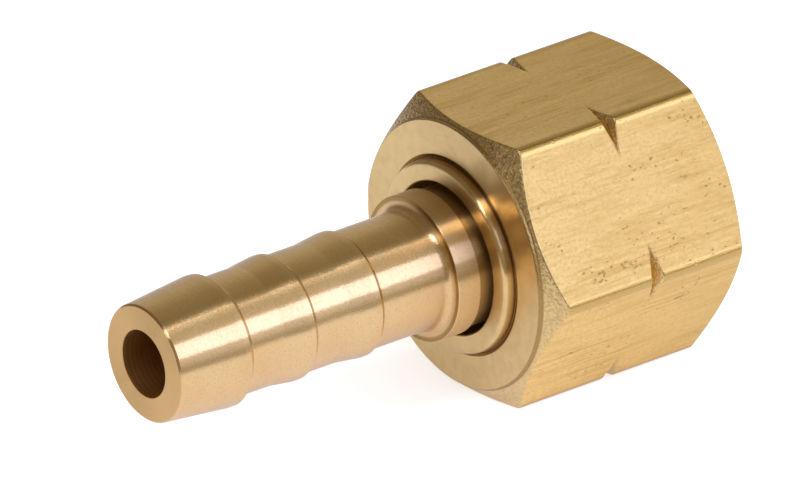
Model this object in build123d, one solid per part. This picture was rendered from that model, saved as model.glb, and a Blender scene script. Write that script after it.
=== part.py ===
from build123d import *
import math
import os

# A swivel hose tail: a brass tail with three barbs for a hose, and a hexagon union nut that
# turns freely on it. The tail's ball-nosed head is caught behind the nut's rear wall, and the
# nut pulls it onto the seat of a mating nipple. The tail is turned in one piece; its head is
# written as a solid of its own, so that the collision of each stays close to its form.
#
# Millimetres. +X runs along the axis from the barbed end to the nut's threaded mouth and +Z is
# up, with the nut lying on a flat of its hexagon. The origin is on the axis, in the plane of
# the nut's rear face.

# Gas passage, drilled wider from the nose, and hose
bore_diameter = 4.6
nose_bore_diameter = 6.0
drill_point_angle = 118
shank_diameter = 8.1            # between the barbs; the hose's own bore is 8
tail_reach = 25.15              # from the nut's rear face to the tip of the tail
tip_edge_diameter = 7.8
tip_edge_chamfer = 0.13

# Barbs: the first is the largest, and the others repeat at one pitch behind it
barb_pitch = 5.38
first_crest_from_tip = 5.4      # to the back edge of the first crest
first_barb_diameter = 9.0
first_barb_back = 0.45          # length of the slope behind the crest
barb_diameter = 8.56
barb_back = 0.3
barb_ramp = 1.9
barb_crest = 0.4                # flat at the top of every barb
following_barbs = 2

# Collar that stops the hose
collar_diameter = 9.94
collar_width = 1.8
collar_from_nut = 1.5           # gap to the nut's rear face
collar_fillet = 0.52            # where the shank runs up into it
collar_edge = 0.12
neck_diameter = 9.5

# Head inside the nut
swivel_clearance = 0.28         # nut's hole round the tail, on the radius
head_gap = 0.3                  # head to the nut's inner shoulder
journal_start = 1.9             # the neck widens again here, to guide the nut
head_diameter = 14.2
head_thickness = 1.6
ball_radius = 7.6
nose_length = 3.1
nose_bore_chamfer = 0.4

# Union nut, G 3/8 thread in 19 mm hexagon bar
across_flats = 19.0
nut_length = 16.4
bar_corner_radius = 0.6
rear_wall = 3.5
rear_face_diameter = 18.4
rear_step_diameter = 18.8       # foot of the drafted step round the rear face
rear_step_height = 0.6
rear_chamfer_angle = 23
front_face_diameter = 17.9
front_chamfer_angle = 27

# Hub that stands out round the nut's rear hole
hub_diameter = 13.16
hub_height = 0.76
hub_outer_edge = 0.3
hub_inner_edge = 0.12
hub_groove_width = 0.3
hub_groove_depth = 0.15

# Thread, bored to its minor diameter
thread_minor_diameter = 14.95
thread_relief_diameter = 16.9
thread_relief_end = 8.8         # from the rear face
mouth_diameter = 16.8

# Notches turned across the corners, the mark of a left-hand thread
notch_from_rear = 8.5
notch_root_diameter = 19.96
notch_angle = 60

# Worked out from the sizes above
bore_radius = bore_diameter / 2
nose_bore_radius = nose_bore_diameter / 2
shank_radius = shank_diameter / 2
collar_radius = collar_diameter / 2
neck_radius = neck_diameter / 2
head_radius = head_diameter / 2
tip_x = -tail_reach
collar_back_x = -collar_from_nut
collar_front_x = collar_back_x - collar_width
head_back_x = rear_wall + head_gap
head_front_x = head_back_x + head_thickness
nose_x = head_front_x + nose_length
nut_hole_radius = collar_radius + swivel_clearance
hub_radius = hub_diameter / 2
corner_radius = across_flats / 2 / math.cos(math.radians(30))


def outline(points):
    """A closed face in the XY plane, through points given as (distance along X, radius)."""
    return make_face(Polyline(*points, close=True))


def corner_at(face, point):
    """The corner of an outline that is nearest to the given point."""
    return min(face.vertices(), key=lambda vertex: (Vector(vertex) - Vector(*point)).length)


def turned(face):
    """The solid that a lathe makes of an outline."""
    return revolve(face, Axis.X)


def barb_points():
    """The tail's outside from the tip to the root of the last barb."""
    first_back_x = tip_x + first_crest_from_tip
    points = [
        (tip_x, tip_edge_diameter / 2),
        (tip_x + tip_edge_chamfer, tip_edge_diameter / 2 + tip_edge_chamfer),
        (first_back_x - barb_crest, first_barb_diameter / 2),
        (first_back_x, first_barb_diameter / 2),
        (first_back_x + first_barb_back, shank_radius),
    ]
    for number in range(1, following_barbs + 1):
        back_x = first_back_x + number * barb_pitch
        points += [
            (back_x - barb_crest - barb_ramp, shank_radius),
            (back_x - barb_crest, barb_diameter / 2),
            (back_x, barb_diameter / 2),
            (back_x + barb_back, shank_radius),
        ]
    return points


def nose_profile():
    """The half section of the ball nose: part of a ball that is flush with the head's rim."""
    centre_x = head_front_x - math.sqrt(ball_radius**2 - head_radius**2)
    nose_radius = math.sqrt(ball_radius**2 - (nose_x - centre_x) ** 2)
    rim = (head_front_x, head_radius)
    tip = (nose_x, nose_radius)
    ball = RadiusArc(rim, tip, ball_radius)
    middle = ball @ 0.5
    if abs((middle - Vector(centre_x, 0)).length - ball_radius) > 0.001:
        ball = RadiusArc(rim, tip, -ball_radius)
    sides = Polyline(tip, (nose_x, 0), (head_front_x, 0), rim)
    return make_face([ball, sides])


def passage_profile():
    """The half section of the gas passage: two drillings that meet at the back of the head."""
    drill_rise = nose_bore_radius - bore_radius
    drill_tip = drill_rise / math.tan(math.radians(drill_point_angle / 2))
    return outline([
        (tip_x, 0),
        (tip_x, bore_radius),
        (head_back_x - drill_tip, bore_radius),
        (head_back_x, nose_bore_radius),
        (nose_x - nose_bore_chamfer, nose_bore_radius),
        (nose_x, nose_bore_radius + nose_bore_chamfer),
        (nose_x, 0),
    ])


def make_hose_tail():
    body = outline([
        (tip_x, 0),
        *barb_points(),
        (collar_front_x, shank_radius),
        (collar_front_x, collar_radius),
        (collar_back_x, collar_radius),
        (collar_back_x, neck_radius),
        (journal_start, neck_radius),
        (journal_start, collar_radius),
        (head_back_x, collar_radius),
        (head_back_x, 0),
    ])
    body = fillet(corner_at(body, (collar_front_x, shank_radius)), collar_fillet)
    for edge_x in (collar_front_x, collar_back_x):
        body = chamfer(corner_at(body, (edge_x, collar_radius)), collar_edge)
    return turned(body) - turned(passage_profile())


def make_ball_head():
    flange = outline([
        (head_back_x, 0),
        (head_back_x, head_radius),
        (head_front_x, head_radius),
        (head_front_x, 0),
    ])
    return turned(flange) + turned(nose_profile()) - turned(passage_profile())


def nut_envelope():
    """The turned shape that the hexagon bar is faced and chamfered to."""
    rear_rise = corner_radius - rear_step_diameter / 2
    front_rise = corner_radius - front_face_diameter / 2
    rear_corner_x = rear_step_height + rear_rise * math.tan(math.radians(rear_chamfer_angle))
    front_corner_x = nut_length - front_rise * math.tan(math.radians(front_chamfer_angle))
    return turned(outline([
        (0, 0),
        (0, rear_face_diameter / 2),
        (rear_step_height, rear_step_diameter / 2),
        (rear_corner_x, corner_radius),
        (front_corner_x, corner_radius),
        (nut_length, front_face_diameter / 2),
        (nut_length, 0),
    ]))


def hexagon_bar():
    """The bar's length is along X, and one of its flats faces down."""
    section = fillet(RegularPolygon(corner_radius, 6).vertices(), bar_corner_radius)
    return Plane.YZ * extrude(section, nut_length)


def nut_cavity():
    """Hole for the tail, chamber for its head, thread and mouth."""
    minor_radius = thread_minor_diameter / 2
    relief_radius = thread_relief_diameter / 2
    relief_ramp = relief_radius - minor_radius
    mouth_depth = mouth_diameter / 2 - minor_radius
    return turned(outline([
        (-hub_height, 0),
        (-hub_height, nut_hole_radius + hub_inner_edge),
        (-hub_height + hub_inner_edge, nut_hole_radius),
        (rear_wall, nut_hole_radius),
        (rear_wall, relief_radius),
        (thread_relief_end - relief_ramp, relief_radius),
        (thread_relief_end, minor_radius),
        (nut_length - mouth_depth, minor_radius),
        (nut_length, mouth_diameter / 2),
        (nut_length, 0),
    ]))


def nut_hub():
    """The plain hub, without its hole."""
    hub = outline([
        (-hub_height, 0),
        (-hub_height, hub_radius),
        (hub_groove_depth, hub_radius),
        (hub_groove_depth, 0),
    ])
    return turned(fillet(corner_at(hub, (-hub_height, hub_radius)), hub_outer_edge))


def hub_groove():
    """The groove round the foot of the hub."""
    return turned(outline([
        (0, hub_radius),
        (0, hub_radius + hub_groove_width),
        (hub_groove_depth, hub_radius),
    ]))


def corner_notch():
    """A ring with a V section, which meets the bar only at its corners."""
    root_radius = notch_root_diameter / 2
    half_width = (corner_radius - root_radius) * math.tan(math.radians(notch_angle / 2))
    return turned(outline([
        (notch_from_rear, root_radius),
        (notch_from_rear - half_width, corner_radius),
        (notch_from_rear + half_width, corner_radius),
    ]))


def make_union_nut():
    nut = hexagon_bar() & nut_envelope()
    nut = nut + nut_hub() - hub_groove()
    return nut - nut_cavity() - corner_notch()


parts = {
    "hose_tail": make_hose_tail(),
    "ball_head": make_ball_head(),
    "union_nut": make_union_nut(),
}

os.makedirs("parts", exist_ok=True)
for node, solid in parts.items():
    export_step(solid, f"parts/{node}.step")
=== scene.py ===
import bpy
import math
from mathutils import Matrix, Vector


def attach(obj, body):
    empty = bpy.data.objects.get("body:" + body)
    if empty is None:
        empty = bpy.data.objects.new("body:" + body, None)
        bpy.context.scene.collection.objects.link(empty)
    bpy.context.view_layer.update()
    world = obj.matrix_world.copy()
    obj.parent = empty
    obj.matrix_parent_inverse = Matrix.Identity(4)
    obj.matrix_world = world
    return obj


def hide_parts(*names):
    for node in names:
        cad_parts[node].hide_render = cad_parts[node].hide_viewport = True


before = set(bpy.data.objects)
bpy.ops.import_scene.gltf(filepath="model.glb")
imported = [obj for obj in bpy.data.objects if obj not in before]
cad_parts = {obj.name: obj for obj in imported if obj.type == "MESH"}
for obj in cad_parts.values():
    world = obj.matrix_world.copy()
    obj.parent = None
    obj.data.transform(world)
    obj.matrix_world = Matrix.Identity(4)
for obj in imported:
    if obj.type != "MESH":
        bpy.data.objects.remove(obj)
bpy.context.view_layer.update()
mm = 0.001  # every size below is in millimetres


def newNode(tree, kind, inputs=(), **settings):
    node = tree.nodes.new(kind)
    for name, value in settings.items():
        setattr(node, name, value)
    for name, value in dict(inputs).items():
        if isinstance(value, bpy.types.NodeSocket):
            tree.links.new(value, node.inputs[name])
        else:
            node.inputs[name].default_value = value
    return node


def mathStep(tree, operation, *values):
    return newNode(tree, "ShaderNodeMath", dict(enumerate(values)), operation=operation).outputs[0]


def roundedOutline(corners, arcSteps=6):
    # a corner is (x, radius, rounding); its rounding becomes an arc with a support point at each side
    supportReach = 0.35
    nearlyStraight = math.pi - 0.01
    points = []
    for number, (x, r, rounding) in enumerate(corners):
        here = Vector((x, r))
        before = Vector(corners[number - 1][:2])
        after = Vector(corners[(number + 1) % len(corners)][:2])
        toBefore = (before - here).normalized()
        toAfter = (after - here).normalized()
        turn = toBefore.angle(toAfter)
        if rounding <= 0 or turn > nearlyStraight:
            points.append(here)
            continue
        reach = rounding / math.tan(turn / 2)
        centre = here + (toBefore + toAfter).normalized() * (rounding / math.sin(turn / 2))
        start = here + toBefore * reach
        end = here + toAfter * reach
        points.append(start + toBefore * supportReach * rounding)
        spokeA, spokeB = start - centre, end - centre
        sweep = spokeA.angle(spokeB)
        for step in range(arcSteps + 1):
            share = step / arcSteps
            blend = spokeA * math.sin((1 - share) * sweep) + spokeB * math.sin(share * sweep)
            points.append(centre + blend / math.sin(sweep))
        points.append(end + toAfter * supportReach * rounding)
    return points


def stopsBetween(point, following, spacing):
    # evenly spread stops, without the two ends
    count = int((following - point).length / spacing)
    return [point.lerp(following, step / count) for step in range(1, count)]


def outlineObject(name, points):
    mesh = bpy.data.meshes.new(name)
    places = [(p.x * mm, p.y * mm, 0) for p in points]
    mesh.from_pydata(places + places[:1], [], [])  # the first stop again, to close the loop
    piece = bpy.data.objects.new(name, mesh)
    bpy.context.scene.collection.objects.link(piece)
    return piece


def newShapeTree(name, sizes):
    tree = bpy.data.node_groups.new(name, "GeometryNodeTree")
    tree.interface.new_socket(name="Outline", in_out="INPUT", socket_type="NodeSocketGeometry")
    for size in sizes:
        kind = "NodeSocketInt" if size in ("Around", "Turn steps") else "NodeSocketFloat"
        tree.interface.new_socket(name=size, in_out="INPUT", socket_type=kind)
    tree.interface.new_socket(name="Finish", in_out="INPUT", socket_type="NodeSocketMaterial")
    tree.interface.new_socket(name="Shape", in_out="OUTPUT", socket_type="NodeSocketGeometry")
    given = tree.nodes.new("NodeGroupInput")
    return tree, given.outputs


def outlineGrid(tree, given, columns):
    # a grid of one row for each outline stop; gives its mesh, each point's column, its stop's x and radius
    stops = newNode(tree, "GeometryNodeAttributeDomainSize", {"Geometry": given["Outline"]})
    grid = newNode(tree, "GeometryNodeMeshGrid", {
        "Vertices X": stops.outputs["Point Count"],
        "Vertices Y": columns,
    })
    index = tree.nodes.new("GeometryNodeInputIndex").outputs[0]
    row = mathStep(tree, "FLOOR", mathStep(tree, "DIVIDE", mathStep(tree, "ADD", index, 0.5), columns))
    column = mathStep(tree, "SUBTRACT", index, mathStep(tree, "MULTIPLY", row, columns))
    place = tree.nodes.new("GeometryNodeInputPosition").outputs[0]
    sampled = newNode(tree, "GeometryNodeSampleIndex", {"Geometry": given["Outline"], "Index": row},
                      data_type="FLOAT_VECTOR", domain="POINT")
    tree.links.new(place, sampled.inputs["Value"])
    parts = newNode(tree, "ShaderNodeSeparateXYZ", {0: sampled.outputs["Value"]})
    return grid.outputs["Mesh"], column, parts.outputs["X"], parts.outputs["Y"]


def wind(tree, mesh, x, radius, angle):
    # puts each point at its radius and angle round the X axis; the angle grows from +Z towards +Y
    y = mathStep(tree, "MULTIPLY", radius, mathStep(tree, "SINE", angle))
    z = mathStep(tree, "MULTIPLY", radius, mathStep(tree, "COSINE", angle))
    spot = newNode(tree, "ShaderNodeCombineXYZ", {"X": x, "Y": y, "Z": z}).outputs[0]
    return newNode(tree, "GeometryNodeSetPosition", {"Geometry": mesh, "Position": spot}).outputs[0]


def storeShare(tree, mesh, name, share):
    return newNode(tree, "GeometryNodeStoreNamedAttribute", {"Geometry": mesh, "Name": name, "Value": share},
                   data_type="FLOAT", domain="POINT").outputs[0]


def endTree(tree, given, mesh):
    weld = 0.0005 * mm  # closes the seam
    mesh = newNode(tree, "GeometryNodeMergeByDistance", {"Geometry": mesh, "Distance": weld}).outputs[0]
    mesh = newNode(tree, "GeometryNodeSetShadeSmooth", {"Geometry": mesh}).outputs[0]
    mesh = newNode(tree, "GeometryNodeRealizeInstances", {"Geometry": mesh}).outputs[0]
    coat = {"Geometry": mesh, "Material": given["Finish"]}
    mesh = newNode(tree, "GeometryNodeSetMaterial", coat).outputs[0]
    end = tree.nodes.new("NodeGroupOutput")
    tree.links.new(mesh, end.inputs["Shape"])


def turnedTree():
    tree, given = newShapeTree("turned shape", ["Around"])
    columns = mathStep(tree, "ADD", given["Around"], 1)
    mesh, column, x, radius = outlineGrid(tree, given, columns)
    angle = mathStep(tree, "MULTIPLY", mathStep(tree, "DIVIDE", column, given["Around"]), math.tau)
    endTree(tree, given, wind(tree, mesh, x, radius, angle))
    return tree


def barTurnedTree():
    # an outline wound round the axis, cut back to a hexagon bar and notched at the bar's corners
    sixth = math.tau / 6
    crowding = 0.6  # the share by which the stops stand closer together at a corner
    barFade = 0.1 * mm  # the depths of cut over which barShare and notchShare rise to 1
    notchFade = 0.05 * mm
    tree, given = newShapeTree("shape turned from hexagon bar", [
        "Around", "Across flats", "Corner rounding", "Edge rounding",
        "Notch place", "Notch root", "Notch spread",
    ])
    perFlat = mathStep(tree, "DIVIDE", given["Around"], 6)
    columns = mathStep(tree, "ADD", given["Around"], 1)
    mesh, column, x, turnedRadius = outlineGrid(tree, given, columns)

    flat = mathStep(tree, "DIVIDE", column, perFlat)
    flatNumber = mathStep(tree, "FLOOR", flat)
    alongFlat = mathStep(tree, "SUBTRACT", flat, flatNumber)
    wave = mathStep(tree, "SINE", mathStep(tree, "MULTIPLY", alongFlat, math.tau))
    alongFlat = mathStep(tree, "SUBTRACT", alongFlat, mathStep(tree, "MULTIPLY", wave, crowding / math.tau))
    fromMiddle = mathStep(tree, "MULTIPLY", mathStep(tree, "SUBTRACT", alongFlat, 0.5), sixth)
    angle = mathStep(tree, "MULTIPLY", mathStep(tree, "ADD", flatNumber, alongFlat), sixth)
    angle = mathStep(tree, "ADD", angle, sixth / 2)

    fromNext = mathStep(tree, "SUBTRACT", sixth, mathStep(tree, "ABSOLUTE", fromMiddle))
    spread = mathStep(tree, "SMOOTH_MAX", mathStep(tree, "COSINE", fromMiddle),
                      mathStep(tree, "COSINE", fromNext), given["Corner rounding"])
    barRadius = mathStep(tree, "DIVIDE", mathStep(tree, "MULTIPLY", given["Across flats"], 0.5), spread)
    radius = mathStep(tree, "SMOOTH_MIN", turnedRadius, barRadius, given["Edge rounding"])

    fromNotch = mathStep(tree, "ABSOLUTE", mathStep(tree, "SUBTRACT", x, given["Notch place"]))
    notchRadius = mathStep(tree, "ADD", given["Notch root"],
                           mathStep(tree, "MULTIPLY", fromNotch, given["Notch spread"]))
    notchRounding = mathStep(tree, "MULTIPLY", given["Edge rounding"], 0.4)  # a notch's edges are crisper
    notched = mathStep(tree, "SMOOTH_MIN", radius, notchRadius, notchRounding)
    mesh = wind(tree, mesh, x, notched, angle)

    barDepth = mathStep(tree, "SUBTRACT", turnedRadius, barRadius)
    mesh = storeShare(tree, mesh, "barShare", mathStep(tree, "DIVIDE", barDepth, barFade))
    notchDepth = mathStep(tree, "SUBTRACT", radius, notchRadius)
    mesh = storeShare(tree, mesh, "notchShare", mathStep(tree, "DIVIDE", notchDepth, notchFade))
    endTree(tree, given, mesh)
    return tree


def threadTree():
    # one ridge section wound along a left-hand helix, held back by the mouth's and the relief's cones
    mouthMargin = 0.05 * mm  # the ridge stops this far short of the mouth
    deepestFoot = 0.15 * mm  # nothing of it lies deeper in the relief's wall than this
    tree, given = newShapeTree("left-hand thread", [
        "Turn steps", "Turns", "Pitch", "Mouth", "Mouth radius", "Relief", "Relief radius",
    ])
    wholeSteps = mathStep(tree, "FLOOR", mathStep(tree, "MULTIPLY", given["Turn steps"], given["Turns"]))
    columns = mathStep(tree, "ADD", wholeSteps, 1)
    mesh, column, across, radius = outlineGrid(tree, given, columns)

    # at both ends the section shrinks to one point in the wall, which closes the ridge
    fromEnd = mathStep(tree, "MINIMUM", column, mathStep(tree, "SUBTRACT", wholeSteps, column))
    isEnd = mathStep(tree, "LESS_THAN", fromEnd, 0.5)
    across = mathStep(tree, "MULTIPLY", across, mathStep(tree, "SUBTRACT", 1, isEnd))

    turns = mathStep(tree, "DIVIDE", column, given["Turn steps"])
    x = mathStep(tree, "ADD", across, mathStep(tree, "MULTIPLY", turns, given["Pitch"]))
    x = mathStep(tree, "MINIMUM", mathStep(tree, "ADD", x, given["Relief"]),
                 mathStep(tree, "SUBTRACT", given["Mouth"], mouthMargin))
    fromMouth = mathStep(tree, "SUBTRACT", given["Mouth"], x)
    mouthCone = mathStep(tree, "SUBTRACT", given["Mouth radius"], fromMouth)
    fromRelief = mathStep(tree, "SUBTRACT", x, given["Relief"])
    reliefCone = mathStep(tree, "SUBTRACT", given["Relief radius"], fromRelief)
    radius = mathStep(tree, "MAXIMUM", radius, mathStep(tree, "MAXIMUM", mouthCone, reliefCone))
    deepest = mathStep(tree, "ADD", given["Relief radius"], deepestFoot)
    radius = mathStep(tree, "MAXIMUM", mathStep(tree, "MINIMUM", radius, deepest),
                      mathStep(tree, "MULTIPLY", deepest, isEnd))
    angle = mathStep(tree, "MULTIPLY", turns, math.tau)  # from +Z towards +Y as x grows: left-handed
    endTree(tree, given, wind(tree, mesh, x, radius, angle))
    return tree


def shapeFrom(name, points, tree, sizes, finish):
    piece = outlineObject(name, points)
    shaper = piece.modifiers.new("shape", "NODES")
    shaper.node_group = tree
    for socket in tree.interface.items_tree:
        if socket.in_out == "INPUT" and socket.name in sizes:
            shaper[socket.identifier] = sizes[socket.name]
        if socket.in_out == "INPUT" and socket.name == "Finish":
            shaper[socket.identifier] = finish
    bpy.context.view_layer.update()
    made = bpy.data.meshes.new_from_object(piece.evaluated_get(bpy.context.evaluated_depsgraph_get()))
    piece.modifiers.remove(shaper)
    piece.data = made
    made.name = name
    return piece


def newFinish(name):
    finish = bpy.data.materials.new(name)
    finish.use_nodes = True
    tree = finish.node_tree
    tree.nodes.clear()
    shader = tree.nodes.new("ShaderNodeBsdfPrincipled")
    end = tree.nodes.new("ShaderNodeOutputMaterial")
    tree.links.new(shader.outputs[0], end.inputs["Surface"])
    return finish, tree, shader


def lathePlaces(tree):
    # the object place, its x, y and z, the distance from the axis and the angle round it, in mm and radians
    place = tree.nodes.new("ShaderNodeTexCoord").outputs["Object"]
    inMm = newNode(tree, "ShaderNodeVectorMath", {0: place, "Scale": 1 / mm}, operation="SCALE").outputs[0]
    x, y, z = newNode(tree, "ShaderNodeSeparateXYZ", {0: inMm}).outputs
    radius = mathStep(tree, "SQRT", mathStep(tree, "ADD", mathStep(tree, "MULTIPLY", y, y),
                                             mathStep(tree, "MULTIPLY", z, z)))
    angle = mathStep(tree, "ARCTAN2", y, z)
    return inMm, x, y, z, radius, angle


def roundTangent(tree, place):
    # the way the tool went: round the axis
    crossed = newNode(tree, "ShaderNodeVectorMath", {0: (1, 0, 0), 1: place},
                      operation="CROSS_PRODUCT").outputs[0]
    turned = newNode(tree, "ShaderNodeVectorTransform", {0: crossed},
                     vector_type="VECTOR", convert_from="OBJECT", convert_to="WORLD").outputs[0]
    return newNode(tree, "ShaderNodeVectorMath", {0: turned}, operation="NORMALIZE").outputs[0]


def noiseAt(tree, x, y, z, noise):
    scale, detail, roughness = noise
    place = newNode(tree, "ShaderNodeCombineXYZ", {"X": x, "Y": y, "Z": z}).outputs[0]
    return newNode(tree, "ShaderNodeTexNoise", {
        "Vector": place, "Scale": scale, "Detail": detail, "Roughness": roughness,
    }).outputs["Fac"]


def toolMarksAt(tree, x, radius, angle, noise):
    slowAngle = mathStep(tree, "MULTIPLY", angle, 0.25)  # draws the marks out, the way the tool went
    return noiseAt(tree, x, radius, slowAngle, noise)


def remap(tree, value, limits, results=(0, 1)):
    # goes from the first result to the second as the value goes from the first limit to the second
    return newNode(tree, "ShaderNodeMapRange", {
        "Value": value, "From Min": limits[0], "From Max": limits[1],
        "To Min": results[0], "To Max": results[1],
    }).outputs[0]


def mixValues(tree, share, first, second):
    return newNode(tree, "ShaderNodeMix", {0: share, 2: first, 3: second}).outputs[0]


def mixColours(tree, share, first, second):
    first, second = ((*value, 1) if isinstance(value, tuple) else value for value in (first, second))
    return newNode(tree, "ShaderNodeMix", {0: share, 6: first, 7: second}, data_type="RGBA").outputs[2]


def dressMetal(tree, shader, place, colour, roughness, height):
    # the height is in millimetres
    bump = newNode(tree, "ShaderNodeBump", {"Height": height, "Distance": mm, "Strength": 1.0})
    tree.links.new(colour, shader.inputs["Base Color"])
    tree.links.new(roughness, shader.inputs["Roughness"])
    tree.links.new(bump.outputs[0], shader.inputs["Normal"])
    tree.links.new(roundTangent(tree, place), shader.inputs["Tangent"])
    shader.inputs["Metallic"].default_value = 1.0


acrossTheMarks = 0.25  # the share of a turn that makes the shine spread across the tool's marks

tailSizes = {
    "reach": 25.15,
    "tipEdgeRadius": 3.9,
    "tipEdgeRounding": 0.03,
    "tipChamfer": 0.13,
    "tipChamferRounding": 0.06,
    "boreRadius": 2.3,
    "boreRounding": 0.04,
    "noseBoreRadius": 3.0,
    "drillSlope": 0.6,  # length for each millimetre of radius, where the two bores meet
    "shankRadius": 4.05,
    "firstCrestFromTip": 5.4,
    "firstBarbRadius": 4.5,
    "firstBarbBack": 0.45,
    "firstFootRounding": 0.12,
    "barbPitch": 5.38,
    "barbRadius": 4.28,
    "barbBack": 0.3,
    "barbRamp": 1.9,
    "barbCrest": 0.4,
    "followingBarbs": 2,
    "rampFootRounding": 1.0,
    "rampTopRounding": 0.5,
    "crestRounding": 0.04,
    "footRounding": 0.1,
    "collarRadius": 4.97,
    "collarFront": -3.3,
    "collarBack": -1.5,
    "collarFillet": 0.52,
    "collarRounding": 0.07,
    "neckRadius": 4.75,
    "neckRounding": 0.05,
    "journalStart": 1.9,
    "headBack": 3.8,
    "headFront": 5.4,
    "headRadius": 7.1,
    "headFootRounding": 0.1,
    "headRounding": 0.15,
    "ballRadius": 7.6,
    "ballSteps": 24,
    "noseEnd": 8.5,
    "noseChamfer": 0.4,
    "around": 240,
    "alongStep": 0.6,
}


def turnedBrass(size):
    # a noise is its scale, detail and roughness; a range is where a share starts and where it is full
    look = {
        "colour": (0.81, 0.545, 0.245),
        "patchColour": (0.78, 0.498, 0.209),
        "patchNoise": (0.35, 3.0, 0.5),
        "patchRange": (0.35, 0.75),
        "patchQuickening": 3.0,  # round the axis
        "grainColour": (0.64, 0.42, 0.17),
        "grainNoise": (7.0, 2.0, 0.6),
        "grainRange": (0.48, 0.7),
        "grainShare": 0.55,
        "grainHeight": 0.004,
        # painted shade: the tip's end face is painted darker
        "tipShadeColour": (0.66, 0.404, 0.144),
        "tipDepth": 0.07,
        # painted shade: the neck behind the collar, down in the nut's hole, is painted darker
        "neckShadeColour": (0.50, 0.29, 0.085),
        "neckBehindCollar": 0.03,
        "neckBelowCollar": 0.04,
        # painted shade: a dark band in the corner at the collar's front foot
        "collarFootShadeColour": (0.42, 0.25, 0.075),
        "collarFootRange": (0.5, 0.65),  # above the shank
        "collarLead": 0.05,
        # painted shade: the bore's wall is painted darker
        "boreShadeColour": (0.60, 0.32, 0.094),
        "boreMargin": 0.04,
        "noseBoreRun": 0.4,  # how far past the head's back the wide bore reaches
        "roughness": (0.22, 0.28),
        "collarRoughness": (0.28, 0.34),
        "boreRoughness": 0.5,
        "anisotropic": 1.0,
        "markNoise": (11.0, 3.0, 0.7),
        "markRange": (0.3, 0.7),
        "markHeight": 0.0012,
        "spiralHeight": 0.003,
        "feed": 0.36,
    }
    finish, tree, shader = newFinish("turnedBrass")
    inMm, x, y, z, radius, angle = lathePlaces(tree)
    marks = toolMarksAt(tree, x, radius, angle, look["markNoise"])
    grain = noiseAt(tree, x, y, z, look["grainNoise"])
    quickAngle = mathStep(tree, "MULTIPLY", angle, look["patchQuickening"])
    patches = noiseAt(tree, x, quickAngle, radius, look["patchNoise"])

    inHead = mathStep(tree, "GREATER_THAN", x, size["headBack"] - look["noseBoreRun"])
    boreStep = mathStep(tree, "MULTIPLY", inHead, size["noseBoreRadius"] - size["boreRadius"])
    boreWall = mathStep(tree, "ADD", boreStep, size["boreRadius"] + look["boreMargin"])
    inBore = mathStep(tree, "LESS_THAN", radius, boreWall)
    shadedTip = mathStep(tree, "LESS_THAN", x, look["tipDepth"] - size["reach"])
    belowCollar = mathStep(tree, "LESS_THAN", radius, size["collarRadius"] - look["neckBelowCollar"])
    fromCollar = mathStep(tree, "GREATER_THAN", x, size["collarFront"] - look["collarLead"])
    behindCollar = mathStep(tree, "GREATER_THAN", x, size["collarBack"] + look["neckBehindCollar"])
    shadedNeck = mathStep(tree, "MULTIPLY", behindCollar, belowCollar)
    footRange = [size["shankRadius"] + rise for rise in look["collarFootRange"]]
    shadedCollarFoot = mathStep(tree, "MULTIPLY", mathStep(tree, "SUBTRACT", fromCollar, shadedNeck), belowCollar)
    shadedCollarFoot = mathStep(tree, "MULTIPLY", shadedCollarFoot, remap(tree, radius, footRange))

    colour = mixColours(tree, remap(tree, patches, look["patchRange"]), look["colour"], look["patchColour"])
    grainShare = remap(tree, grain, look["grainRange"], (0, look["grainShare"]))
    colour = mixColours(tree, grainShare, colour, look["grainColour"])
    # painted shade on the tip's end face
    colour = mixColours(tree, shadedTip, colour, look["tipShadeColour"])
    # painted shade on the neck behind the collar
    colour = mixColours(tree, shadedNeck, colour, look["neckShadeColour"])
    # painted shade in the corner at the collar's foot
    colour = mixColours(tree, shadedCollarFoot, colour, look["collarFootShadeColour"])
    # painted shade inside the bore
    colour = mixColours(tree, inBore, colour, look["boreShadeColour"])

    roughness = mixValues(tree, fromCollar, remap(tree, marks, look["markRange"], look["roughness"]),
                          remap(tree, marks, look["markRange"], look["collarRoughness"]))
    roughness = mixValues(tree, inBore, roughness, look["boreRoughness"])
    outside = mathStep(tree, "SUBTRACT", 1.0, inBore)
    tree.links.new(mathStep(tree, "MULTIPLY", outside, look["anisotropic"]), shader.inputs["Anisotropic"])
    shader.inputs["Anisotropic Rotation"].default_value = acrossTheMarks

    feedPhase = mathStep(tree, "ADD", mathStep(tree, "MULTIPLY", x, math.tau / look["feed"]), angle)
    spiral = mathStep(tree, "MULTIPLY", mathStep(tree, "SINE", feedPhase), inBore)
    height = mathStep(tree, "MULTIPLY", marks, look["markHeight"])
    height = mathStep(tree, "ADD", height, mathStep(tree, "MULTIPLY", grain, look["grainHeight"]))
    height = mathStep(tree, "ADD", height, mathStep(tree, "MULTIPLY", spiral, look["spiralHeight"]))
    dressMetal(tree, shader, inMm, colour, roughness, height)
    return finish


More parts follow.
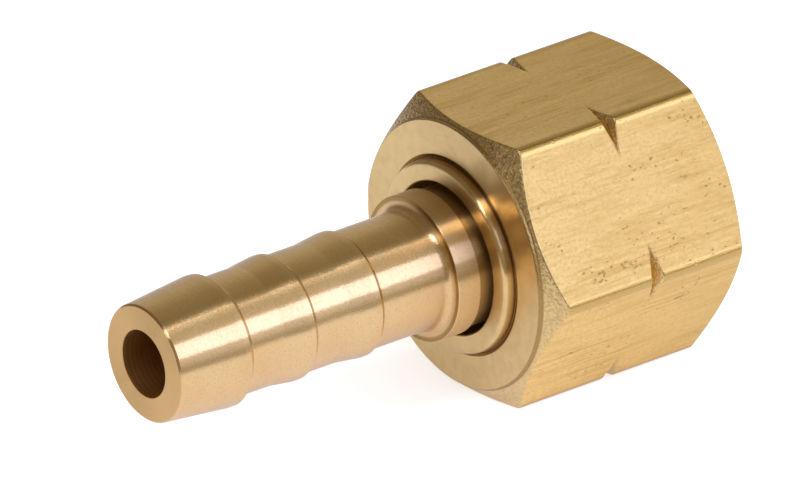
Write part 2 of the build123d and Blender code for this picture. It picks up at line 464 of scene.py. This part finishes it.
def tailOutline(size):
    tip = -size["reach"]
    shank = size["shankRadius"]
    tipRadius = size["tipEdgeRadius"] + size["tipChamfer"]
    firstBack = tip + size["firstCrestFromTip"]
    corners = [
        (tip, size["boreRadius"], size["boreRounding"]),
        (tip, size["tipEdgeRadius"], size["tipEdgeRounding"]),
        (tip + size["tipChamfer"], tipRadius, size["tipChamferRounding"]),
        (firstBack - size["barbCrest"], size["firstBarbRadius"], size["rampTopRounding"]),
        (firstBack, size["firstBarbRadius"], size["crestRounding"]),
        (firstBack + size["firstBarbBack"], shank, size["firstFootRounding"]),
    ]
    for number in range(1, size["followingBarbs"] + 1):
        back = firstBack + number * size["barbPitch"]
        corners += [
            (back - size["barbCrest"] - size["barbRamp"], shank, size["rampFootRounding"]),
            (back - size["barbCrest"], size["barbRadius"], size["rampTopRounding"]),
            (back, size["barbRadius"], size["crestRounding"]),
            (back + size["barbBack"], shank, size["footRounding"]),
        ]
    corners += [
        (size["collarFront"], shank, size["collarFillet"]),
        (size["collarFront"], size["collarRadius"], size["collarRounding"]),
        (size["collarBack"], size["collarRadius"], size["collarRounding"]),
        (size["collarBack"], size["neckRadius"], size["neckRounding"]),
        (size["journalStart"], size["neckRadius"], size["neckRounding"]),
        (size["journalStart"], size["collarRadius"], size["neckRounding"]),
        (size["headBack"], size["collarRadius"], size["headFootRounding"]),
        (size["headBack"], size["headRadius"], size["headRounding"]),
        (size["headFront"], size["headRadius"], 0.0),
    ]
    ballCentre = size["headFront"] - math.sqrt(size["ballRadius"] ** 2 - size["headRadius"] ** 2)
    for step in range(1, size["ballSteps"] + 1):
        x = size["headFront"] + (size["noseEnd"] - size["headFront"]) * step / size["ballSteps"]
        corners.append((x, math.sqrt(size["ballRadius"] ** 2 - (x - ballCentre) ** 2), 0.0))
    drillRise = size["noseBoreRadius"] - size["boreRadius"]
    corners += [
        (size["noseEnd"], size["noseBoreRadius"] + size["noseChamfer"], size["boreRounding"]),
        (size["noseEnd"] - size["noseChamfer"], size["noseBoreRadius"], size["boreRounding"]),
        (size["headBack"], size["noseBoreRadius"], 0.0),
        (size["headBack"] - drillRise * size["drillSlope"], size["boreRadius"], 0.0),
    ]
    points = roundedOutline(corners)
    stops = []
    for point, following in zip(points, points[1:] + points[:1]):
        stops += [point] + stopsBetween(point, following, size["alongStep"])
    return stops


turnedFinish = turnedBrass(tailSizes)
tail = shapeFrom("turnedTail", tailOutline(tailSizes), turnedTree(), {
    "Around": tailSizes["around"],
}, turnedFinish)
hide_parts("hose_tail", "ball_head")
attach(tail, "tail")
print("tail made:", len(tail.data.polygons), "faces")


nutSizes = {
    "acrossFlats": 19.0,
    "length": 16.4,
    "cornerRounding": 0.0443,  # two flats blend where the cosines of their angles differ by less than this
    "edgeRounding": 0.16,
    "rearFaceRadius": 9.2,
    "rearFaceRounding": 0.1,
    "stepRadius": 9.25,
    "stepHeight": 0.25,
    "stepRounding": 0.08,
    "rearChamfer": 32,
    "frontFaceRadius": 8.95,
    "frontFaceRounding": 0.1,
    "frontChamfer": 27,
    "beyondCorner": 12.0,  # the chamfers run on past the corners to here
    "hubRadius": 6.58,
    "hubHeight": 0.76,
    "hubRounding": 0.3,
    "holeRadius": 5.25,
    "holeRounding": 0.12,
    "grooveWidth": 0.3,
    "grooveDepth": 0.15,
    "grooveFootRounding": 0.04,
    "grooveEdgeRounding": 0.06,
    "rearWall": 3.5,
    "rearWallFootRounding": 0.15,
    "rearWallEdgeRounding": 0.1,
    "reliefRadius": 8.45,
    "reliefEnd": 8.8,
    "reliefRun": 0.1,
    "wallRadius": 8.36,
    "minorRadius": 7.475,
    "mouthRadius": 8.4,
    "mouthRounding": 0.04,
    "notchPlace": 8.5,
    "notchRoot": 9.98,
    "notchAngle": 60,
    "notchReach": 0.7,  # how far to each side of a notch the stops are close together
    "around": 288,
    "notchStep": 0.04,
    "chamferStep": 0.07,
    "barrelStep": 0.25,
    "insideStep": 1.0,
}


def barBrass(size):
    # a noise is its quickness along the bar, scale, detail and roughness
    # a range is where a share starts and where it is full
    look = {
        "flatColour": (0.89, 0.62, 0.22),
        "streakColour": (0.64, 0.38, 0.09),
        "streakNoise": (0.07, 3.0, 5.0, 0.7),
        "streakRange": (0.42, 0.68),
        "streakHeight": 0.016,
        "patchNoise": (0.35, 0.55, 3.0, 0.5),
        "patchRange": (0.35, 0.6),
        "patchResults": (0.2, 1),
        "deepening": 0.3,
        "deepeningRange": (0, 16),  # along the bar
        "streaksWhereDeep": 0.7,
        "fineNoise": (0.12, 13.0, 2.0, 0.5),
        "fineShare": 0.3,
        "flatGrainColour": (0.70, 0.47, 0.15),
        "flatGrainRange": (0.45, 0.75),
        "flatGrainHeight": 0.005,
        "flatRoughness": (0.50, 0.60),
        "flatAnisotropic": 0.6,
        "pitColour": (0.36, 0.207, 0.058),
        "pitNoise": (0.7, 4.0, 1.0, 0.5),
        "pitPatches": 0.6,  # how much the pits keep to the patches
        "pitRange": (1.02, 1.10),
        "pitShare": 0.6,
        # painted shade: a dark band along the bar's rounded corners
        "cornerShadeColour": (0.60, 0.38, 0.11),
        "cornerDepth": 0.27,  # below the sharp corner
        "cornerFade": 0.08,
        "cornerRoughness": 0.24,
        "turnedColour": (0.77, 0.536, 0.223),
        "turnedRoughness": (0.22, 0.27),
        "turnedAnisotropic": 1.0,
        "stainColour": (0.69, 0.475, 0.19),
        "stainNoise": (1.0, 1.1, 4.0, 0.6),
        "stainRange": (0.4, 0.7),
        "markNoise": (9.0, 3.0, 0.7),  # the tool's marks, which have no quickness
        "markRange": (0.3, 0.7),
        "markHeight": 0.002,
        # partly grain, partly painted shade: the chamfer's dark sand grows towards the top
        "sandAndShadeColour": (0.42, 0.27, 0.085),
        "sandNoise": (1.0, 4.5, 3.0, 0.65),
        "sandRange": (0.42, 0.66),
        "shadeUpRange": (-4, 3),  # in z: painted shade, so the chamfer is darker higher up
        "shadeUpResults": (0.3, 1),
        "sandHeight": 0.05,
        "chamferMargin": 0.08,
        "chamferFade": 0.06,
        "chamferRoughness": 0.26,
        # painted shade: a dark line along the step between the rear face and the chamfer
        "rimShadeColour": (0.40, 0.25, 0.08),
        "rimWidth": 0.03,
        # painted shade: the groove at the hub's foot is painted dark, most where it is deepest
        "grooveShadeColour": (0.30, 0.16, 0.045),
        "grooveMargins": (0.08, 0.02),  # inwards and outwards
        "grooveDepthRange": (-0.12, 0.02),
        "grooveReach": 1.0,
    }
    finish, tree, shader = newFinish("barBrass")
    inMm, x, y, z, radius, angle = lathePlaces(tree)

    def barNoise(name):
        quickness, *noise = look[name]
        return noiseAt(tree, mathStep(tree, "MULTIPLY", x, quickness), y, z, noise)

    def storedShare(name):
        stored = newNode(tree, "ShaderNodeAttribute", attribute_name=name).outputs["Fac"]
        return newNode(tree, "ShaderNodeClamp", {"Value": stored}).outputs[0]

    def beyond(start, fade, results=(0, 1)):
        return remap(tree, radius, (start, start + fade), results)

    onFlat = mathStep(tree, "MULTIPLY", storedShare("barShare"),
                      mathStep(tree, "SUBTRACT", 1.0, storedShare("notchShare")))
    offFlat = mathStep(tree, "SUBTRACT", 1.0, onFlat)
    cornerStart = size["acrossFlats"] / math.sqrt(3) - look["cornerDepth"]
    shadedCorner = mathStep(tree, "MULTIPLY", onFlat, beyond(cornerStart, look["cornerFade"]))
    chamferStart = size["rearFaceRadius"] - look["chamferMargin"]
    onChamfer = mathStep(tree, "MULTIPLY", offFlat, beyond(chamferStart, look["chamferFade"]))
    rimEnd = size["stepRadius"] + look["rimWidth"]
    shadedRim = mathStep(tree, "MULTIPLY", onChamfer, beyond(rimEnd, look["chamferFade"], (1, 0)))
    grooveStart = size["hubRadius"] - look["grooveMargins"][0]
    grooveEnd = size["hubRadius"] + size["grooveWidth"] + look["grooveMargins"][1]
    shadedGroove = mathStep(tree, "MULTIPLY", mathStep(tree, "GREATER_THAN", radius, grooveStart),
                        mathStep(tree, "LESS_THAN", radius, grooveEnd))
    shadedGroove = mathStep(tree, "MULTIPLY", shadedGroove, remap(tree, x, look["grooveDepthRange"]))
    shadedGroove = mathStep(tree, "MULTIPLY", shadedGroove, mathStep(tree, "LESS_THAN", x, look["grooveReach"]))

    toolMarks = toolMarksAt(tree, x, radius, angle, look["markNoise"])
    drawn = barNoise("streakNoise")
    fineDrawn = barNoise("fineNoise")
    patches = barNoise("patchNoise")
    sand = barNoise("sandNoise")
    stains = barNoise("stainNoise")
    specks = mathStep(tree, "ADD", barNoise("pitNoise"),
                      mathStep(tree, "MULTIPLY", patches, look["pitPatches"]))
    pits = mathStep(tree, "MULTIPLY", remap(tree, specks, look["pitRange"]), onFlat)

    # the flats' drawn streaks come in patches and deepen along the bar
    streaks = mathStep(tree, "MULTIPLY", remap(tree, drawn, look["streakRange"]),
                       remap(tree, patches, look["patchRange"], look["patchResults"]))
    deepening = remap(tree, x, look["deepeningRange"], (0, look["deepening"]))
    deepStreaks = mathStep(tree, "MULTIPLY", streaks, look["streaksWhereDeep"])
    streaks = mathStep(tree, "MAXIMUM", streaks, mathStep(tree, "ADD", deepStreaks, deepening))
    flatColour = mixColours(tree, streaks, look["flatColour"], look["streakColour"])
    flatGrainShare = remap(tree, sand, look["flatGrainRange"])
    flatColour = mixColours(tree, flatGrainShare, flatColour, look["flatGrainColour"])

    stainShare = remap(tree, stains, look["stainRange"])
    turnedColour = mixColours(tree, stainShare, look["turnedColour"], look["stainColour"])
    # dark sand on the chamfer: grain, with painted shade that grows higher up
    sandAndShadeShare = mathStep(tree, "MULTIPLY", remap(tree, sand, look["sandRange"]), onChamfer)
    sandAndShadeShare = mathStep(tree, "MULTIPLY", sandAndShadeShare,
                         remap(tree, z, look["shadeUpRange"], look["shadeUpResults"]))
    turnedColour = mixColours(tree, sandAndShadeShare, turnedColour, look["sandAndShadeColour"])
    # painted shade along the step at the rear face's rim
    turnedColour = mixColours(tree, shadedRim, turnedColour, look["rimShadeColour"])
    # painted shade in the groove at the hub's foot
    turnedColour = mixColours(tree, shadedGroove, turnedColour, look["grooveShadeColour"])

    colour = mixColours(tree, onFlat, turnedColour, flatColour)
    colour = mixColours(tree, mathStep(tree, "MULTIPLY", pits, look["pitShare"]), colour, look["pitColour"])
    # painted shade along the bar's rounded corners
    colour = mixColours(tree, shadedCorner, colour, look["cornerShadeColour"])

    turnedRoughness = remap(tree, toolMarks, look["markRange"], look["turnedRoughness"])
    flatRoughness = remap(tree, fineDrawn, look["markRange"], look["flatRoughness"])
    roughness = mixValues(tree, onFlat, turnedRoughness, flatRoughness)
    roughness = mixValues(tree, onChamfer, roughness, look["chamferRoughness"])
    roughness = mixValues(tree, shadedCorner, roughness, look["cornerRoughness"])

    # on the flats the shine spreads across the lines the bar was drawn with, so it isn't turned there
    stretch = mixValues(tree, onFlat, look["turnedAnisotropic"], look["flatAnisotropic"])
    stretchShare = mathStep(tree, "SUBTRACT", 1.0, mathStep(tree, "MAXIMUM", onChamfer, shadedCorner))
    tree.links.new(mathStep(tree, "MULTIPLY", stretch, stretchShare), shader.inputs["Anisotropic"])
    tree.links.new(mathStep(tree, "MULTIPLY", offFlat, acrossTheMarks), shader.inputs["Anisotropic Rotation"])

    flatHeight = mathStep(tree, "ADD", drawn, mathStep(tree, "MULTIPLY", fineDrawn, look["fineShare"]))
    flatHeight = mathStep(tree, "SUBTRACT", flatHeight, pits)
    flatHeight = mathStep(tree, "MULTIPLY", flatHeight, look["streakHeight"])
    flatHeight = mathStep(tree, "ADD", flatHeight, mathStep(tree, "MULTIPLY", sand, look["flatGrainHeight"]))
    turnedHeight = mathStep(tree, "MULTIPLY", toolMarks, look["markHeight"])
    sandHeight = mathStep(tree, "MULTIPLY", mathStep(tree, "MULTIPLY", sand, onChamfer), look["sandHeight"])
    height = mathStep(tree, "ADD", mixValues(tree, onFlat, turnedHeight, flatHeight), sandHeight)
    dressMetal(tree, shader, inMm, colour, roughness, height)
    return finish


def nutCorners(size):
    beyond = size["beyondCorner"]
    rearRun = (beyond - size["stepRadius"]) * math.tan(math.radians(size["rearChamfer"]))
    frontRun = (beyond - size["frontFaceRadius"]) * math.tan(math.radians(size["frontChamfer"]))
    mouthEnd = size["length"] - size["mouthRadius"] + size["wallRadius"]
    return [
        (-size["hubHeight"], size["holeRadius"], size["holeRounding"]),
        (-size["hubHeight"], size["hubRadius"], size["hubRounding"]),
        (size["grooveDepth"], size["hubRadius"], size["grooveFootRounding"]),
        (0, size["hubRadius"] + size["grooveWidth"], size["grooveEdgeRounding"]),
        (0, size["rearFaceRadius"], size["rearFaceRounding"]),
        (size["stepHeight"], size["stepRadius"], size["stepRounding"]),
        (size["stepHeight"] + rearRun, beyond, 0.0),
        (size["length"] - frontRun, beyond, 0.0),
        (size["length"], size["frontFaceRadius"], size["frontFaceRounding"]),
        (size["length"], size["mouthRadius"], size["mouthRounding"]),
        (mouthEnd, size["wallRadius"], 0.0),
        (size["reliefEnd"], size["wallRadius"], 0.0),
        (size["reliefEnd"] - size["reliefRun"], size["reliefRadius"], 0.0),
        (size["rearWall"], size["reliefRadius"], size["rearWallFootRounding"]),
        (size["rearWall"], size["holeRadius"], size["rearWallEdgeRounding"]),
    ]


def barrelStops(start, end, radius, size):
    # from one chamfer to the other, without the two ends
    edges = [start, size["notchPlace"] - size["notchReach"], size["notchPlace"] + size["notchReach"], end]
    spacings = [size["barrelStep"], size["notchStep"], size["barrelStep"]]
    stops = []
    for low, high, spacing in zip(edges, edges[1:], spacings):
        count = int((high - low) / spacing)
        stops += [Vector((low + (high - low) * step / count, radius)) for step in range(1, count + 1)]
    return stops[:-1]


def nutOutline(size):
    # inside the nut wide steps will do, so only the outside is stretched out finely
    outside = (size["reliefRadius"] + size["frontFaceRadius"]) / 2
    points = roundedOutline(nutCorners(size))
    stops = []
    for point, following in zip(points, points[1:] + points[:1]):
        stops.append(point)
        isOutside = min(point.y, following.y) > outside
        if isOutside and following.x - point.x > size["length"] / 2:
            stops += barrelStops(point.x, following.x, point.y, size)
        else:
            stops += stopsBetween(point, following, size["chamferStep"] if isOutside else size["insideStep"])
    return stops


nut = shapeFrom("hexNut", nutOutline(nutSizes), barTurnedTree(), {
    "Around": nutSizes["around"],
    "Across flats": nutSizes["acrossFlats"] * mm,
    "Corner rounding": nutSizes["cornerRounding"],
    "Edge rounding": nutSizes["edgeRounding"] * mm,
    "Notch place": nutSizes["notchPlace"] * mm,
    "Notch root": nutSizes["notchRoot"] * mm,
    "Notch spread": 1 / math.tan(math.radians(nutSizes["notchAngle"] / 2)),
}, barBrass(nutSizes))
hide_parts("union_nut")
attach(nut, "nut")
print("nut made:", len(nut.data.polygons), "faces")


threadSizes = {
    "pitch": 1.337,
    "majorRadius": 8.33,
    "flankAngle": 27.5,
    "crestWidth": 0.22,
    "crestRounding": 0.09,
    "footDepth": 0.1,  # in the relief's wall
    "arcSteps": 3,
    "turnSteps": 120,
}


def ridgeOutline(size, nutSize):
    depth = size["majorRadius"] - nutSize["minorRadius"]
    flank = depth * math.tan(math.radians(size["flankAngle"]))
    crest = size["crestWidth"] / 2
    foot = nutSize["reliefRadius"] + size["footDepth"]
    corners = [
        (crest + flank, foot, 0.0),
        (crest + flank, size["majorRadius"], 0.0),
        (crest, nutSize["minorRadius"], size["crestRounding"]),
        (-crest, nutSize["minorRadius"], size["crestRounding"]),
        (-crest - flank, size["majorRadius"], 0.0),
        (-crest - flank, foot, 0.0),
    ]
    return roundedOutline(corners, size["arcSteps"])


reliefStart = nutSizes["reliefEnd"] - (nutSizes["reliefRadius"] - nutSizes["minorRadius"])
thread = shapeFrom("nutThread", ridgeOutline(threadSizes, nutSizes), threadTree(), {
    "Turn steps": threadSizes["turnSteps"],
    "Turns": (nutSizes["length"] - reliefStart) / threadSizes["pitch"],
    "Pitch": threadSizes["pitch"] * mm,
    "Mouth": nutSizes["length"] * mm,
    "Mouth radius": nutSizes["mouthRadius"] * mm,
    "Relief": reliefStart * mm,
    "Relief radius": nutSizes["reliefRadius"] * mm,
}, turnedFinish)
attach(thread, "nut")
print("thread made:", len(thread.data.polygons), "faces")


white = (1, 1, 1)
coolWhite = (1.0, 1.06, 1.39)
keyColour = (0.90, 1.03, 1.95)

floorPlan = {
    "half": 1500.0,
    "gap": 0.02,  # keeps the nut's lower flat clear of the floor
    "colour": (0.8, 0.8, 0.8),
    "roughness": 0.9,
    "seenGlow": 0.66,
    "mirroredColour": coolWhite,
    "mirroredGlow": (0.42, 0.31),  # the second is what the barbed end and the nut's rear face mirror
    "behindWay": (-0.6, 0.8, 0),
    "behindReach": 40.0,
    "dimColour": (0.50, 0.52, 0.58),
    "dimColourBehind": (0.20, 0.17, 0.14),
    "dimFrom": 60.0,
    "dimFull": 150.0,
    "barbSide": 30.0,
}


def floorFinish(plan):
    finish, tree, shader = newFinish("paleFloor")
    shader.inputs["Base Color"].default_value = (*plan["colour"], 1)
    shader.inputs["Roughness"].default_value = plan["roughness"]
    shader.inputs["Specular IOR Level"].default_value = 0.0
    place = tree.nodes.new("ShaderNodeTexCoord").outputs["Object"]
    wayBehind = newNode(tree, "ShaderNodeVectorMath", {0: place, 1: plan["behindWay"]},
                        operation="DOT_PRODUCT").outputs["Value"]
    mirroredGlow = remap(tree, wayBehind, (0, plan["behindReach"] * mm), plan["mirroredGlow"])
    rays = tree.nodes.new("ShaderNodeLightPath").outputs
    mirrored = mathStep(tree, "MAXIMUM", rays["Is Glossy Ray"], rays["Is Transmission Ray"])
    glow = mathStep(tree, "MULTIPLY", rays["Is Camera Ray"], plan["seenGlow"])
    glow = mathStep(tree, "MAXIMUM", glow, mathStep(tree, "MULTIPLY", mirrored, mirroredGlow))
    glowColour = mixColours(tree, rays["Is Camera Ray"], plan["mirroredColour"], white)
    tree.links.new(glowColour, shader.inputs["Emission Color"])
    tree.links.new(glow, shader.inputs["Emission Strength"])

    # metal sees the floor end in the dimmer room
    away = newNode(tree, "ShaderNodeVectorMath", {0: place}, operation="LENGTH").outputs["Value"]
    far = remap(tree, away, (plan["dimFrom"] * mm, plan["dimFull"] * mm))
    placeX = newNode(tree, "ShaderNodeSeparateXYZ", {0: place}).outputs["X"]
    towardsBarbs = remap(tree, placeX, (plan["barbSide"] * mm, -plan["barbSide"] * mm))
    dimColour = mixColours(tree, towardsBarbs, plan["dimColour"], plan["dimColourBehind"])
    dim = newNode(tree, "ShaderNodeEmission", {"Color": dimColour})
    whole = newNode(tree, "ShaderNodeMixShader", {
        0: mathStep(tree, "MULTIPLY", mirrored, far), 1: shader.outputs[0], 2: dim.outputs[0],
    })
    end = next(node for node in tree.nodes if node.type == "OUTPUT_MATERIAL")
    tree.links.new(whole.outputs[0], end.inputs["Surface"])
    return finish


def makeFloor(plan):
    half = plan["half"] * mm
    height = -(nutSizes["acrossFlats"] / 2 + plan["gap"]) * mm
    corners = [(-half, -half, height), (half, -half, height), (half, half, height), (-half, half, height)]
    mesh = bpy.data.meshes.new("floor")
    mesh.from_pydata(corners, [], [(0, 1, 2, 3)])
    mesh.materials.append(floorFinish(plan))
    floor = bpy.data.objects.new("floor", mesh)
    bpy.context.scene.collection.objects.link(floor)


makeFloor(floorPlan)
print("floor made")

# the bands are by angle round the fitting's axis, from straight up towards the front, in degrees
# towards the barbed end the room is dark at the back and dim on the front
roomPlan = {
    "bands": [
        (-180, coolWhite),
        (-104, coolWhite),
        (-88, (0.60, 0.62, 0.69)),
        (-56, (0.56, 0.53, 0.47)),
        (-30, (0.36, 0.33, 0.26)),
        (0, (0.28, 0.26, 0.19)),
        (16, (0.58, 0.57, 0.58)),
        (38, (0.80, 0.83, 0.95)),
        (70, (1.02, 1.08, 1.46)),
        (81, (0.92, 1.00, 1.36)),
        (87, (0.64, 0.64, 0.70)),
        (180, (0.62, 0.62, 0.68)),
    ],
    "barbEndBack": (0.20, 0.17, 0.14),
    "barbEndBackRange": (0.35, -0.1),
    "barbEndFront": (0.34, 0.31, 0.27),
    "barbEndFrontRange": (0.3, -0.1),
    "frontRange": (0.0, -0.3),
    "fill": (0.55, 0.55, 0.55),  # what lights the floor
}


def makeRoom(plan):
    world = bpy.data.worlds.new("studio")
    world.use_nodes = True
    bpy.context.scene.world = world
    tree = world.node_tree
    tree.nodes.clear()
    way = tree.nodes.new("ShaderNodeTexCoord").outputs["Generated"]
    x, y, z = newNode(tree, "ShaderNodeSeparateXYZ", {0: way}).outputs
    turn = mathStep(tree, "ARCTAN2", mathStep(tree, "MULTIPLY", y, -1), z)
    bands = newNode(tree, "ShaderNodeValToRGB", {"Fac": remap(tree, turn, (-math.pi, math.pi))})
    ramp = bands.color_ramp
    while len(ramp.elements) < len(plan["bands"]):
        ramp.elements.new(0.5)
    for stop, (angle, colour) in zip(ramp.elements, plan["bands"]):
        stop.position = (angle + 180) / 360
        stop.color = (*colour, 1)
    halves = []
    for half in ("barbEndBack", "barbEndFront"):
        dimShare = remap(tree, x, plan[half + "Range"])
        halves.append(mixColours(tree, dimShare, bands.outputs["Color"], plan[half]))
    mirrored = mixColours(tree, remap(tree, y, plan["frontRange"]), *halves)
    rays = tree.nodes.new("ShaderNodeLightPath").outputs
    colour = mixColours(tree, rays["Is Glossy Ray"], plan["fill"], mirrored)
    colour = mixColours(tree, rays["Is Camera Ray"], colour, white)
    room = newNode(tree, "ShaderNodeBackground", {"Color": colour, "Strength": 1.0})
    end = tree.nodes.new("ShaderNodeOutputWorld")
    tree.links.new(room.outputs[0], end.inputs["Surface"])


makeRoom(roomPlan)
print("room made")

# turn is the angle round the fitting's axis, side is how far the lamp stands towards +X
# a strength of 1 looks as bright as white
lamps = {
    "keySoftbox": {"turn": 57, "side": 0.45, "size": (700, 265), "strength": 1.36, "colour": keyColour},
    "leftLamp": {"turn": 15, "side": -0.56, "size": (420, 130), "strength": 4.0, "colour": coolWhite},
    "leftWindow": {"turn": -31, "side": -0.94, "size": (140, 50), "strength": 1.5, "colour": coolWhite},
    "topStrip": {"turn": 13, "side": 0.0, "size": (1500, 16), "strength": 1.9, "colour": coolWhite},
}
lampDistance = 600


def makeLamp(name, lamp):
    across = math.sqrt(1 - lamp["side"] ** 2)
    turn = math.radians(lamp["turn"])
    way = Vector((lamp["side"], -across * math.sin(turn), across * math.cos(turn)))
    light = bpy.data.lights.new(name, "AREA")
    light.shape = "RECTANGLE"
    light.size, light.size_y = (side * mm for side in lamp["size"])
    light.energy = lamp["strength"] * light.size * light.size_y * math.pi
    light.color = lamp["colour"]
    holder = bpy.data.objects.new(name, light)
    holder.location = way * lampDistance * mm
    holder.visible_camera = False
    # the lamp's long side lies along the fitting, square to the way it shines
    back = way.normalized()
    along = (Vector((1, 0, 0)) - back * back.x).normalized()
    up = back.cross(along)
    holder.rotation_mode = "QUATERNION"
    holder.rotation_quaternion = Matrix((along, up, back)).transposed().to_quaternion()
    bpy.context.scene.collection.objects.link(holder)


for name, lamp in lamps.items():
    makeLamp(name, lamp)
print("lamps made:", len(lamps))

cameraPlan = {
    "azimuth": -37.3,
    "elevation": 27.5,
    "distance": 1561.2,
    "lens": 1078.5,
    "pictureSize": (800, 501),
    "originPixel": (453.1, 255.0),  # where the frame's origin falls in the picture
    "sensor": 36.0,
    "clip": (50, 10000),
}


def makeCamera(plan):
    azimuth, elevation = math.radians(plan["azimuth"]), math.radians(plan["elevation"])
    back = Vector((math.sin(azimuth) * math.cos(elevation), -math.cos(azimuth) * math.cos(elevation),
                   math.sin(elevation)))
    right = Vector((0, 0, 1)).cross(back).normalized()
    up = back.cross(right)
    pixelSize = plan["sensor"] / plan["pictureSize"][0] * plan["distance"] / plan["lens"] * mm
    offRight = plan["originPixel"][0] - plan["pictureSize"][0] / 2
    offDown = plan["originPixel"][1] - plan["pictureSize"][1] / 2
    aim = (up * offDown - right * offRight) * pixelSize
    data = bpy.data.cameras.new("camera")
    data.sensor_width = plan["sensor"]
    data.lens = plan["lens"]
    data.clip_start, data.clip_end = (reach * mm for reach in plan["clip"])
    camera = bpy.data.objects.new("camera", data)
    camera.rotation_mode = "QUATERNION"
    camera.rotation_quaternion = back.to_track_quat("Z", "Y")
    camera.location = aim + back * plan["distance"] * mm
    bpy.context.scene.collection.objects.link(camera)
    bpy.context.scene.camera = camera


makeCamera(cameraPlan)
bpy.context.scene.view_settings.view_transform = "Standard"
print("camera placed")
